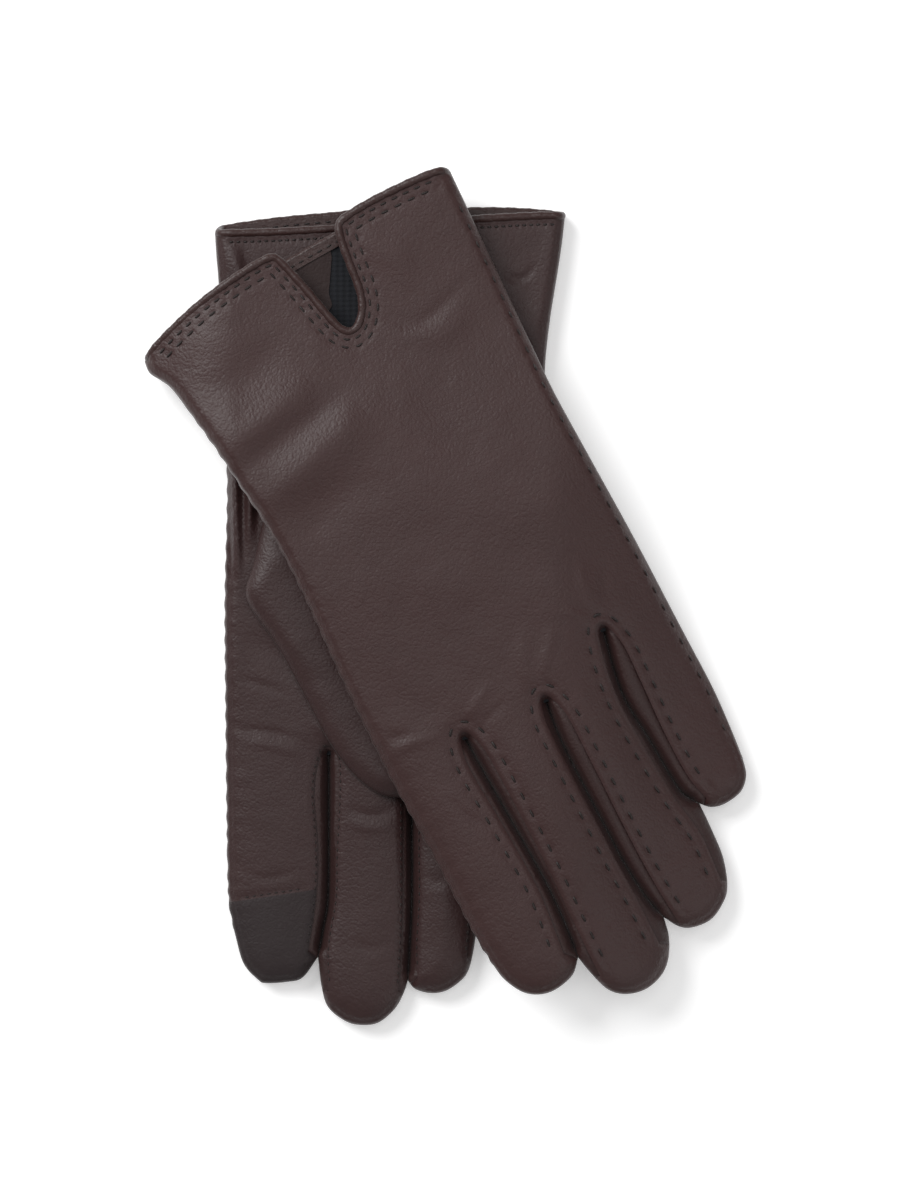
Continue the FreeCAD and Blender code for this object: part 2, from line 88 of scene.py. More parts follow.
# inset, pitch, stitch length and thread thickness of each row of stitches
CUFF_ROWS = {"left": [(3.5, 3.7, 2.3, 0.62), (5.9, 4.4, 2.7, 0.62)],
             "right": [(3.9, 2.1, 1.2, 0.62)]}
FINGER_ROW = {"left": (3.2, 5.8, 2.8, 0.72), "right": (0.45, 2.3, 1.3, 0.36)}
SIDE_ROW = (2.0, 5.8, 2.4, 0.6)
TOUCH_ROW = (0.8, 2.2, 1.2, 0.36)
RIGHT = {
    "name": "right",
    "origin": (-16.05, 112.35),
    "yaw": 0.0,
    "side_index": [(-52.9, 1.8), (-52.4, 10), (-51.7, 19), (-50.3, 50), (-49.2, 79), (-49.9, 113),
                   (-49.7, 143), (-49.2, 187), (-48.7, 204), (-47.1, 213)],
    "side_little": [(49.0, 191), (49.7, 165), (49.5, 140), (48.8, 100), (47.2, 62),
                    (46.6, 45), (48.0, 30), (49.9, 18), (51.6, 7), (52.8, -3.4)],
    "gaps": [[(-21.8, 221), (-20.2, 212), (-18.8, 203), (-18.6, 180), (-18.6, 160)],
             [(5.3, 228), (6.0, 215), (6.5, 203), (6.5, 180), (6.5, 163)],
             [(27.8, 197), (27.3, 188), (28.4, 152)]],
    "tips": {
        "index": [(-44.3, 222.8), (-39.8, 227.9), (-37.5, 228.9), (-31, 228.5), (-26.4, 227.2)],
        "middle": [(-20.7, 230), (-18.7, 236.2), (-13.6, 240.3), (-9, 241.5), (-3.6, 240.8),
                   (1.4, 236.6), (4.2, 231.5)],
        "ring": [(7.4, 230.6), (12, 231.9), (16.5, 231.3), (20.5, 228.8), (23.4, 225.4),
                 (25.2, 218.4), (26.6, 208)],
        "little": [(31, 199.6), (35, 202.6), (39.5, 203.5), (44.2, 202), (47.6, 197.4)],
    },
    "seams": {
        "index": [(-24.8, 219), (-22.4, 203), (-21.9, 188), (-23.0, 172), (-21.8, 162)],
        "middle_low": [(-15.6, 162), (-15.6, 175), (-16.4, 190), (-16.7, 203), (-19.0, 218),
                       (-18.6, 231)],
        "middle": [(2.4, 231), (3.3, 218), (3.7, 203), (3.7, 185), (4.0, 166)],
        "ring_low": [(8.6, 166), (8.2, 185), (8.3, 203), (7.5, 218), (8.2, 227)],
        "ring": [(23.0, 221), (24.3, 203), (24.6, 185), (25.4, 156)],
        "little_low": [(31.5, 156), (30.4, 180), (31.6, 195)],
    },
    "forks": {"index": (-18.6, 157.2), "middle": (6.4, 160), "ring": (28.5, 149)},
    "cuff_back": [(-52.5, 1.2), (-50, 0.0), (-35, -2.2), (-18, -3.8), (-5.4, -4.6), (-2.6, 1.5),
                  (-0.6, 10), (1.6, 20), (3.6, 24.6), (6.6, 24.4), (9.6, 20.5), (11.3, 12),
                  (12.3, 4), (15, -3.6), (22, -5.2), (37.4, -5.2), (50, -4.2), (52.8, -3.4)],
    "cuff_palm": [(-52.5, 1.8), (-49, 1.9), (-35, 1.5), (-20, 0.7), (0, -0.6), (20, -2),
                  (42, -3.3), (52.8, -3.4)],
    "knuckle": {"index": 182, "middle": 187, "ring": 183, "little": 165},
    "shared": {"index": -34, "middle": -6, "ring": 17, "little": 38.5},
    "up": "palm",
}
LEFT = {
    "name": "left",
    "origin": (-43.05, 100.35),
    "yaw": math.radians(26.9),
    "side_index": [(-55.0, 4.4), (-55.4, 9), (-53.2, 13), (-51.4, 17), (-49.6, 27), (-47.7, 39),
                   (-46.0, 54), (-44.3, 70), (-44.0, 88), (-45.2, 118), (-45.6, 150),
                   (-44.8, 175), (-44.4, 203), (-43.6, 213)],
    "side_little": [(51.4, 193), (52.2, 184), (52.9, 170), (52.5, 150), (51.9, 120), (50.8, 92),
                    (50.1, 70), (50.5, 55), (51.3, 30), (52.4, -4.6)],
    "gaps": [[(-19.9, 223.2), (-18.9, 214), (-18.4, 204), (-18.4, 195), (-19.5, 171), (-20.4, 150)],
             [(8.4, 224.8), (6.5, 218), (5.2, 206), (5.0, 195), (4.8, 180), (4.9, 163), (6.1, 151)],
             [(33.5, 199.4), (31.5, 196.5), (29.8, 192), (28.7, 176), (27.6, 159), (30.9, 140)]],
    "tips": {
        "index": [(-42.5, 219), (-39.2, 225), (-34.6, 228.0), (-29.5, 228.6), (-23.6, 227)],
        "middle": [(-18.7, 229), (-16.3, 236), (-12, 239.9), (-6, 241.4), (0, 239.9), (4.1, 236.4),
                   (7.2, 230.6)],
        "ring": [(11.2, 229.4), (14.6, 231.6), (20.4, 232.2), (25.4, 230), (29.5, 226),
                 (32.5, 217.4), (33.3, 207.6)],
        "little": [(36.2, 202), (40.4, 203), (46.3, 201.9), (50, 198.2)],
    },
    "seams": {
        "index": [(-23.2, 220), (-21.6, 205), (-21.3, 195), (-22.2, 175), (-23.2, 156)],
        "middle_low": [(-17.0, 154), (-16.1, 172), (-15.9, 195), (-16.3, 212), (-16.6, 231)],
        "middle": [(3.6, 231), (3.6, 214), (3.3, 202), (3.2, 180), (3.2, 165), (3.4, 155)],
        "ring_low": [(9.6, 156), (10.0, 172), (10.0, 195), (10.4, 212), (11.6, 228)],
        "ring": [(28.8, 223), (29.6, 208), (27.6, 195), (26.2, 178), (25.6, 160), (27.6, 145)],
        "little_low": [(34.2, 145), (34.2, 158), (33.6, 175), (34.0, 190), (36.0, 198.8)],
    },
    "forks": {"index": (-20.4, 147.6), "middle": (6.2, 148.6), "ring": (31, 137.6)},
    "cuff_back": [(-55.0, 4.4), (-50, 2.0), (-42, -0.6), (-31.9, -3.2), (-20, -5.2), (-12, -6.0),
                  (-6.8, -5.8), (-4.4, -3.6), (-2.4, 3), (-0.6, 10), (1.2, 18), (2.8, 23.2),
                  (4.6, 25), (7.0, 23.6), (9.6, 20), (11.0, 15), (11.7, 8), (12.4, 2), (13.4, -3),
                  (15.2, -5.6), (19, -6.6), (28, -7.2), (40, -7.0), (49, -6.2), (52.4, -4.6)],
    "cuff_palm": [(-55.0, 4.4), (-50, 4.0), (-40, 2.2), (-20, -1.4), (0, -2.8), (14, -3.4),
                  (30, -4.0), (45, -4.6), (52.4, -4.6)],
    "knuckle": {"index": 176, "middle": 180, "ring": 176, "little": 162},
    "shared": {"index": -32, "middle": -7, "ring": 17, "little": 40},
    "up": "back",
}


def curve(points, step=1.0):
    """A smooth line through points, with a point about every step."""
    p = np.array(points, float)
    p = np.vstack([2 * p[0] - p[1], p, 2 * p[-1] - p[-2]])
    line = []
    for a, b, c, d in zip(p, p[1:], p[2:], p[3:]):
        count = max(1, int(round(np.linalg.norm(c - b) / step)))
        t = np.arange(count)[:, None] / count
        line.append(0.5 * (2 * b + (c - a) * t + (2 * a - 5 * b + 4 * c - d) * t**2
                           + (3 * b - a - 3 * c + d) * t**3))
    return np.vstack(line + [p[-2:-1]])


def seam_line(glove, n):
    """The seam that runs down one finger, round the fork and up the next one."""
    seams = glove["seams"]
    return curve(seams[FINGERS[n]] + [glove["forks"][FINGERS[n]]]
                 + seams[f"{FINGERS[n + 1]}_low"], 0.8)


def finger_tip(glove, n, step=1.0):
    """The end of a finger, from where it leaves one neighbour to where it meets the next."""
    start = glove["side_index"][-1] if n == 0 else np.array(glove["gaps"][n - 1][0]) + HAIR
    end = glove["side_little"][0] if n == 3 else np.array(glove["gaps"][n][0]) - HAIR
    return curve([tuple(start)] + glove["tips"][FINGERS[n]] + [tuple(end)], step)


def nearest(line, point):
    """The number of the line's point that is nearest to a point."""
    return np.argmin(np.linalg.norm(line - point, axis=1))


def trunk(glove, seams=False, step=1.0):
    """The line round the fingers from one cuff corner to the other. With seams it keeps to
    the cut edge of the upper leather, and otherwise it follows the gaps."""
    side = curve(glove["side_index"], step)
    run = np.arange(len(side)) * step
    side[:, 0] += SCALLOP * np.sin(run * 2 * math.pi / SCALLOP_PITCH) * ease((run - 14) / 20)
    line = [side]
    for n in range(4):
        tip = finger_tip(glove, n, step)
        if seams:
            first = 1 if n == 0 else nearest(tip, seam_line(glove, n - 1)[-1])
            last = -1 if n == 3 else nearest(tip, seam_line(glove, n)[0]) + 1
            line.append(tip[first:last])
        else:
            line.append(tip[1:-1])
        if n == 3:
            break
        if seams:
            line.append(seam_line(glove, n))
        else:
            gap = curve(glove["gaps"][n], step)
            line += [gap - HAIR, gap[::-1] + HAIR]
    line.append(curve(glove["side_little"], step))
    return np.vstack(line)


def distance(points, line, closed=False):
    """How far each point is from a line of short runs."""
    a = line
    b = np.roll(line, -1, axis=0) if closed else line[1:]
    a = a if closed else line[:-1]
    best = np.full(len(points), 1e9)
    span = b - a
    size = np.maximum((span**2).sum(1), 1e-12)
    for k in range(0, len(points), 2000):
        p = points[k:k + 2000]
        t = np.clip(((p[:, None] - a) * span).sum(2) / size, 0, 1)
        gap = p[:, None] - a - t[..., None] * span
        best[k:k + 2000] = np.sqrt((gap**2).sum(2).min(1))
    return best


def inside(points, loop):
    """Which points lie inside a closed loop."""
    x, y = points[:, 0], points[:, 1]
    held = np.zeros(len(points), bool)
    for (x1, y1), (x2, y2) in zip(loop, np.roll(loop, -1, axis=0)):
        if y1 == y2:
            continue
        crosses = (y1 > y) != (y2 > y)
        held ^= crosses & (x < (x2 - x1) * (y - y1) / (y2 - y1) + x1)
    return held


def table_place(glove, uv):
    """A plan's points on the table, in millimetres."""
    c, s = math.cos(glove["yaw"]), math.sin(glove["yaw"])
    u, v = uv[:, 0], uv[:, 1]
    x = glove["origin"][0] + u * c + v * s
    y = glove["origin"][1] + u * s - v * c
    return np.stack([x, y], 1)


def ease(t):
    t = np.clip(t, 0, 1)
    return (1 - np.cos(np.pi * t)) / 2


def ripple(xy, scale, seed):
    """Soft uneven waves, from -1 to 1, about scale across."""
    rng = np.random.RandomState(seed)
    grid = rng.uniform(-1, 1, (64, 64))
    p = xy / scale + 32
    cell = np.floor(p).astype(int)
    f = p - cell
    f = f * f * (3 - 2 * f)
    i, j = cell[:, 0] % 63, cell[:, 1] % 63
    low = grid[i, j] * (1 - f[:, 0]) + grid[i + 1, j] * f[:, 0]
    high = grid[i, j + 1] * (1 - f[:, 0]) + grid[i + 1, j + 1] * f[:, 0]
    return low * (1 - f[:, 1]) + high * f[:, 1]


LOW_MIDDLE = 4.4          # middle of a glove that lies on the table
UPPER_LIFT = 17.1         # how much the lower glove and its thumb lift the upper one
CUFF_DROOP = 5.5          # less this much at the cuff
FINGER_LIFT = 0.6         # and down to this at the fingertips


def middle_height(glove, uv):
    """Height of the plane where a glove's two sides meet."""
    if glove["name"] == "right":
        return np.full(len(uv), LOW_MIDDLE)
    xy = table_place(glove, uv)
    x, y = xy[:, 0], xy[:, 1]
    level = UPPER_LIFT - CUFF_DROOP * ease((y - 25) / 75)
    fall = ease((90 - x) / 60) * ease((x + 108) / 46)
    return FINGER_LIFT + (level - FINGER_LIFT) * fall + LOW_MIDDLE


def ridge(uv, line, width, height):
    """A soft fold along a line, tapering to nothing at both ends."""
    line = curve(line, 1.5)
    a, b = line[:-1], line[1:]
    span = b - a
    size = np.maximum((span**2).sum(1), 1e-9)
    t = np.clip(((uv[:, None] - a) * span).sum(2) / size, 0, 1)
    gap = ((uv[:, None] - a - t[..., None] * span)**2).sum(2)
    near = gap.argmin(1)
    along = (near + t[np.arange(len(uv)), near]) / len(a)
    d2 = gap[np.arange(len(uv)), near]
    return height * np.sin(np.pi * np.clip(along, 0.02, 0.98)) ** 0.8 * np.exp(-d2 / width**2)


FOLDS = {
    # line, width and height of each soft fold that shows
    "left": [
        ([(-49, 25), (-30, 24), (-14, 20)], 6.0, -0.7),
        ([(-48, 41), (-30, 38), (-12, 34)], 5.0, 1.1),
        ([(-46, 49), (-24, 45), (-2, 41)], 4.0, -0.6),
        ([(-46, 61), (-26, 56), (-2, 49)], 6.0, 1.3),
        ([(-44, 73), (-24, 70), (-6, 66)], 7.0, -0.7),
        ([(14, 26), (24, 33), (44, 27)], 2.0, -0.4),
        ([(12, 31), (26, 38), (40, 36)], 4.0, 0.5),
        ([(18, 2), (26, 12), (24, 24)], 5.0, 0.5),
        ([(10, 52), (18, 66), (20, 82)], 8.0, -0.4),
        ([(-30, 92), (-8, 104), (14, 104)], 10.0, 0.5),
        ([(-38, 128), (-28, 136), (-22, 142)], 5, -0.3),
        ([(-43, 143), (-33, 144), (-25, 146)], 1.6, 0.35),
        ([(-42, 139), (-34, 141)], 1.6, -0.3),
        ([(-33, 163), (-29, 173), (-24, 178)], 1.4, -0.35),
        ([(10, 128), (5, 138), (4, 144)], 2.2, 0.3),
        ([(18, 132), (12, 139), (8, 144)], 1.6, 0.35),
        ([(-6, 138), (-13, 142), (-18, 145)], 1.4, 0.35),
        ([(-4, 145), (-11, 147), (-16, 149)], 1.2, -0.3),
        ([(34, 118), (32, 126), (31, 132)], 1.8, 0.3),
        ([(42, 120), (37, 128), (34, 134)], 1.6, -0.3),
        ([(22, 128), (26, 132), (29, 136)], 1.4, 0.3),
    ],
    "right": [
        ([(-48, 6), (-45, 16), (-40, 26)], 2.2, 0.9),
        ([(-45, 6), (-41, 18), (-33, 30)], 1.6, -0.9),
        ([(-49, 80), (-48.5, 96), (-47.5, 110)], 1.0, -0.8),
        ([(-47, 62), (-46.5, 84), (-45.6, 108)], 1.5, 1.9),
        ([(-45, 62), (-44.2, 84), (-44.4, 106)], 0.9, -1.0),
        ([(-43, 62), (-42.0, 80), (-42.6, 98)], 1.5, 2.2),
        ([(-40.5, 62), (-39.6, 78), (-40.6, 92)], 1.0, -1.3),
        ([(-44, 124), (-34, 130), (-28, 140)], 4, -0.5),
        ([(-47, 137), (-38, 139), (-30, 142)], 1.2, -0.3),
        ([(-48, 152), (-36, 153), (-25, 156)], 1.0, -0.35),
        ([(-47, 156), (-36, 157), (-25, 160)], 1.2, 0.3),
        ([(-46, 195), (-36, 197), (-26, 194)], 1.0, -0.25),
        ([(-22, 150), (-20.5, 153), (-19, 156)], 1.2, 0.4),
        ([(-14, 176), (-5, 178), (2, 176)], 1.3, -0.35),
        ([(-14, 180), (-5, 182), (2, 180)], 1.4, 0.3),
        ([(-13, 216), (-6, 218), (1, 216)], 2.0, -0.25),
        ([(9, 196), (15, 198), (22, 196)], 2.0, -0.3),
        ([(44, 12), (41, 16), (37, 17), (34, 14)], 0.9, -0.6),
        ([(46, 34), (30, 22), (20, 4)], 3.5, 0.7),
        ([(44, 44), (27, 27), (14, 8)], 2.6, -0.7),
    ],
}


def rightward(line, closed=False):
    """The way to the right of a line's run, at each of its points."""
    ahead = np.gradient(line, axis=0)
    if closed:
        ahead = np.roll(line, -1, axis=0) - np.roll(line, 1, axis=0)
    ahead = ahead / np.maximum(np.linalg.norm(ahead, axis=1), 1e-9)[:, None]
    return np.stack([ahead[:, 1], -ahead[:, 0]], 1)


def offset_line(line, distance_out):
    """A line moved to the right of the way that it runs."""
    moved = line + distance_out * rightward(line)
    return moved[distance(moved, line) > abs(distance_out) * 0.97 - 0.02]


def points_within(loop, spacing, lines=()):
    """Points to fill a closed loop: rows close behind its edge, a honeycomb inside."""
    inward = rightward(loop, True)
    if inside(loop[::7] + 0.05 * inward[::7], loop).mean() < 0.5:
        inward = -inward
    rows = []
    for depth in (0.12, 0.4, 0.85, 1.5, 2.3):
        row = loop + depth * inward
        row = row[inside(row, loop)]
        rows.append(row[distance(row, loop, True) > depth * 0.93])
    low, high = loop.min(0), loop.max(0)
    across = np.arange(low[0], high[0], spacing)
    along = np.arange(low[1], high[1], spacing * 0.866)
    comb = np.array([(x + (spacing / 2 if n % 2 else 0), y)
                     for n, y in enumerate(along) for x in across])
    comb = comb[inside(comb, loop)]
    rows.append(comb[distance(comb, loop, True) > 2.8])
    points = np.vstack(rows)
    for line in lines:
        points = points[distance(points, line) > 0.4]
    return points


def cut_across(loop, centre, slope):
    """Puts the two ends of a cut across a finger into its loop, and gives the cut."""
    ends = []
    for sense in (-1, 1):
        ahead = sense * np.array([1.0, slope])
        start, span = loop, np.roll(loop, -1, axis=0) - loop
        cross = ahead[0] * span[:, 1] - ahead[1] * span[:, 0]
        cross = np.where(np.abs(cross) < 1e-9, 1e-9, cross)
        gap = start - centre
        far = (gap[:, 0] * span[:, 1] - gap[:, 1] * span[:, 0]) / cross
        share = (gap[:, 0] * ahead[1] - gap[:, 1] * ahead[0]) / cross
        far = np.where((far > 0) & (share >= 0) & (share < 1), far, 1e9)
        k = far.argmin()
        ends.append(centre + far[k] * ahead)
        loop = np.insert(loop, k + 1, ends[-1], axis=0)
    count = max(2, int(np.linalg.norm(ends[1] - ends[0])))
    return loop, np.linspace(ends[0], ends[1], count + 1)


def filled(loop, spacing, cuts=(), rows=()):
    """Triangles that fill a closed loop, split along each cut and finer along each row."""
    lines = []
    for centre, slope in cuts:
        loop, line = cut_across(loop, np.array(centre, float), slope)
        lines.append(line)
    inner = points_within(loop, spacing, lines)
    for row in rows:
        close = np.vstack([offset_line(row, k) for k in (-0.75, 0.02, 0.75)])
        close = close[inside(close, loop)]
        close = close[distance(close, loop, True) > 0.5]
        for line in lines:
            close = close[distance(close, line) > 0.5]
        inner = np.vstack([inner[distance(inner, row) > 1.2], close])
    points = [loop, inner] + lines
    edges = [(k, (k + 1) % len(loop)) for k in range(len(loop))]
    at = len(loop) + len(points[1])
    for line in lines:
        edges += [(at + k, at + k + 1) for k in range(len(line) - 1)]
        at += len(line)
    made = delaunay_2d_cdt([Vector(p) for p in np.vstack(points)], edges, [], 1, 1e-4)
    return np.array([tuple(p) for p in made[0]]), np.array([tuple(f) for f in made[2]])


def corner_normals(points, faces):
    """A smooth normal at each corner of a surface."""
    a, b, c = (points[faces[:, k]] for k in range(3))
    flat = np.cross(b - a, c - a)
    total = np.zeros_like(points)
    for k in range(3):
        np.add.at(total, faces[:, k], flat)
    return total / np.maximum(np.linalg.norm(total, axis=1), 1e-12)[:, None]


def sheet_of(points, faces, normals, thick):
    """One cut sheet of leather or knit: outside, inside and the edge between them."""
    used, faces = np.unique(faces, return_inverse=True)
    faces = faces.reshape(-1, 3)
    points, normals = points[used], normals[used]
    count = len(points)
    sides = np.vstack([faces[:, [0, 1]], faces[:, [1, 2]], faces[:, [2, 0]]])
    both = set(map(tuple, sides))
    edge = np.array([s for s in map(tuple, sides) if (s[1], s[0]) not in both])
    wall = np.vstack([np.stack([edge[:, 1], edge[:, 0], edge[:, 0] + count], 1),
                      np.stack([edge[:, 1], edge[:, 0] + count, edge[:, 1] + count], 1)])
    return (np.vstack([points, points - thick * normals]),
            np.vstack([faces, faces[:, ::-1] + count, wall]), np.vstack([normals, -normals]))


def joined(*sheets):
    """Several sheets as the points, faces and normals of one piece."""
    points, faces, normals = [], [], []
    at = 0
    for p, f, n in sheets:
        points.append(p)
        faces.append(f + at)
        normals.append(n)
        at += len(p)
    return np.vstack(points), np.vstack(faces), np.vstack(normals)


def make_piece(name, points, faces, normals, material):
    """A mesh object from points in millimetres on the table."""
    mesh = bpy.data.meshes.new(name)
    mesh.from_pydata((points * MM).tolist(), [], faces.tolist())
    mesh.polygons.foreach_set("use_smooth", [True] * len(mesh.polygons))
    mesh.materials.append(material)
    mesh.normals_split_custom_set_from_vertices(normals.tolist())
    piece = bpy.data.objects.new(name, mesh)
    bpy.context.scene.collection.objects.link(piece)
    return piece


def fasten(piece, glove, finger, node):
    """Ties a hand piece to its hand, bakes a finger piece in place, hides the node it stands for.
    """
    hand = f"{glove['name']}_hand"
    if finger == "hand":
        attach(piece, hand)
    else:
        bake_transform(piece)
    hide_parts(f"{glove['name']}_{node}")


def finger_of(glove, uv):
    """The number of the finger that each point belongs to, or the hand's mark."""
    found = np.zeros(len(uv), int)
    for gap in glove["gaps"]:
        line = curve(gap)
        line = line[np.argsort(line[:, 1])]
        found += uv[:, 0] > np.interp(uv[:, 1], line[:, 1], line[:, 0])
    starts = np.array([glove["knuckle"][f] - CUT_BACK for f in FINGERS])
    return np.where(uv[:, 1] > starts[found], found, HAND)


for glove in (RIGHT, LEFT):
    glove["rim"] = trunk(glove)
    glove["seam_lines"] = [seam_line(glove, n) for n in range(3)]
    glove["gap_lines"] = [curve(gap)[3:] for gap in glove["gaps"]]
    cuff = curve(glove["cuff_back"] if glove["up"] == "back" else glove["cuff_palm"], 0.8)
    inset, *stitch = FINGER_ROW[glove["name"]]
    glove["rows"] = [(offset_line(cuff, -row[0])[4:-4], *row[1:])
                     for row in CUFF_ROWS[glove["name"]]]
    glove["rows"] += [(offset_line(line, inset)[2:-2], *stitch) for line in glove["seam_lines"]]
    if glove["name"] == "left":
        side = offset_line(curve(glove["side_little"]), SIDE_ROW[0])[8:-8]
        glove["rows"].append((side, *SIDE_ROW[1:]))
    else:
        touch = offset_line(curve(TOUCH_SEAM), TOUCH_ROW[0])[4:-4]
        glove["rows"].append((touch, *TOUCH_ROW[1:]))
    glove["bends"] = {}
    for joint in frame["joints"]:
        side, finger = joint["child"].split("_")
        if side != glove["name"] or finger not in FINGERS:
            continue
        hinge = np.array(joint["pos_m"])
        along = np.array([math.sin(glove["yaw"]), -math.cos(glove["yaw"]), 0]) * BEND * MM
        glove["bends"][finger] = (tuple(hinge - along), tuple(hinge + along))


def beside(uv, line):
    """How far each point is from a line, and how far along the line it lies."""
    a, b = line[:-1], line[1:]
    span = b - a
    size = np.maximum((span**2).sum(1), 1e-9)
    run = np.concatenate([[0], np.cumsum(np.sqrt(size))])
    far, along = np.full(len(uv), 99.0), np.zeros(len(uv))
    near = np.all((uv > line.min(0) - 3) & (uv < line.max(0) + 3), axis=1)
    for k in np.array_split(np.flatnonzero(near), max(1, near.sum() // 2000)):
        t = np.clip(((uv[k][:, None] - a) * span).sum(2) / size, 0, 1)
        gap = np.sqrt(((uv[k][:, None] - a - t[..., None] * span)**2).sum(2))
        best = gap.argmin(1)
        far[k] = gap[np.arange(len(k)), best]
        along[k] = (run[:-1] + t * np.sqrt(size))[np.arange(len(k)), best]
    return far, along


def rounded(t):
    """A full round edge that rises from 0 to 1."""
    return (1 - (1 - np.clip(t, 0, 1)) ** ROUNDNESS) ** (1 / ROUNDNESS)


def surface(glove, uv, side, kind="leather"):
    """Height of a glove's outside: side 1 is the upper one and -1 the lower one."""
    d = distance(uv, glove["rim"])
    on_finger = ease((uv[:, 1] - 125) / 35)
    dome = rounded(d / (3.6 + 3.4 * on_finger))
    crown = 0.6 * ease((d - 3) / 9) * on_finger
    crease = np.minimum.reduce([distance(uv, line) for line in glove["gap_lines"]])
    z = middle_height(glove, uv) + side * (HALF_DEPTH * dome + (crown if side > 0 else 0))
    z -= GAP_DEEP * np.exp(-(crease / GAP_WIDE) ** 2)
    xy = table_place(glove, uv)
    loose = ease(d / 9)
    if side < 0:
        return z + (0.3 * loose * ripple(xy, 24, 12) if glove["name"] == "left" else 0)
    z += loose * (0.40 * ripple(xy, 31, 3) + 0.20 * ripple(xy, 13, 8))
    z += 0.06 * ease(d / 3) * ripple(xy, 4.2, 21)
    for line, width, height in FOLDS[glove["name"]]:
        z += ridge(uv, line, width, height) * ease(d / 1.5)
    seam = np.minimum.reduce([distance(uv, line) for line in glove["seam_lines"]])
    if kind == "fork":
        return z - (0.3 + 0.5 * np.exp(-(seam / 0.7) ** 2)) * ease(d / 1.2)
    # a welt beside each finger seam, a groove along it, and one behind the outer edge
    z += 0.16 * np.exp(-((seam - 1.2) / 0.8) ** 2) - 0.18 * np.exp(-(seam / 0.5) ** 2)
    z -= 0.40 * np.exp(-((d - 1.5) / 0.40) ** 2) * (seam > 4)
    for line, pitch, length, thick in glove["rows"]:
        far, along = beside(uv, line)
        beat = np.cos(2 * math.pi * (along - 0.3 * pitch - length / 2) / pitch)
        z -= (0.20 + 0.14 * beat) * np.exp(-(far / 0.8) ** 2)
    return z


def outside(glove, uv, faces, side, kind="leather"):
    """Points on the table and normals for a sheet on one side of a glove."""
    points = np.column_stack([table_place(glove, uv), surface(glove, uv, side, kind)])
    faces = faces[:, ::-1] if side > 0 else faces
    return points, faces, corner_normals(points, faces)


def panel_loop(glove, side):
    """The closed edge of the upper (1) or lower (-1) leather, fingers and all."""
    trunk_line = trunk(glove, seams=side > 0)
    back = (glove["up"] == "back") == (side > 0)
    cuff = offset_line(curve(glove["cuff_back" if back else "cuff_palm"]), -EDGE_TUCK)
    return np.vstack([trunk_line[1:-1], cuff[::-1][2:-2]])


def finger_cuts(glove):
    return [((glove["shared"][f], glove["knuckle"][f] - CUT_BACK), 0.0) for f in FINGERS]


class Node:
    """One socket of a shader, with plain arithmetic."""

    def __init__(self, tree, socket):
        self.tree = tree
        self.socket = socket

    def node(self, kind, settings=(), output=0, **inputs):
        """Another node. An input is given by its name, or as i and its number."""
        made = self.tree.nodes.new(kind)
        for key, value in dict(settings).items():
            setattr(made, key, value)
        for key, value in inputs.items():
            slot = made.inputs[int(key[1:]) if key[1:].isdigit() else key]
            if isinstance(value, Node):
                self.tree.links.new(value.socket, slot)
            else:
                slot.default_value = value
        return Node(self.tree, made.outputs[output])

    def __add__(self, other):
        return self.node("ShaderNodeMath", {"operation": "ADD"}, i0=self, i1=other)

    __radd__ = __add__

    def __mul__(self, other):
        return self.node("ShaderNodeMath", {"operation": "MULTIPLY"}, i0=self, i1=other)

    __rmul__ = __mul__


def new_material(name):
    """A material, its shader and its object coordinates."""
    material = bpy.data.materials.new(name)
    material.use_nodes = True
    tree = material.node_tree
    shader = tree.nodes["Principled BSDF"]
    place = Node(tree, tree.nodes.new("ShaderNodeTexCoord").outputs["Object"])
    return material, tree, shader, place


def leather(name, dark, light, rough):
    """Leather dyed between two shades, with pores, fine creases and a soft sheen."""
    material, tree, shader, place = new_material(name)
    cloud = place.node("ShaderNodeTexNoise", Vector=place, Scale=38.0, Detail=4.0)
    mottle = place.node("ShaderNodeTexNoise", Vector=place, Scale=420.0, Detail=3.0)
    pores = place.node("ShaderNodeTexVoronoi", {"feature": "SMOOTH_F1"}, Vector=place,
                       Scale=1350.0, Smoothness=0.5)
    fine = place.node("ShaderNodeTexNoise", Vector=place, Scale=2600.0, Detail=2.0)
    creases = place.node("ShaderNodeTexVoronoi", {"feature": "DISTANCE_TO_EDGE"},
                         Vector=place, Scale=520.0)
    creases = place.node("ShaderNodeMath", {"operation": "MINIMUM"}, i0=creases, i1=0.25)
    colour = place.node("ShaderNodeMix", {"data_type": "RGBA"}, output=2,
                        i0=cloud * 0.55 + mottle * 0.45, i6=dark + (1,), i7=light + (1,))
    tree.links.new(colour.socket, shader.inputs["Base Color"])
    tree.links.new((rough - 0.08 + mottle * 0.16).socket, shader.inputs["Roughness"])
    bump = place.node("ShaderNodeBump", Height=pores * 0.5 + fine * 0.3 + creases * 1.2,
                      Strength=0.50, Distance=0.00026)
    tree.links.new(bump.socket, shader.inputs["Normal"])
    shader.inputs["Specular IOR Level"].default_value = 0.33
    shader.inputs["Sheen Weight"].default_value = 0.06
    shader.inputs["Sheen Roughness"].default_value = 0.4
    return material


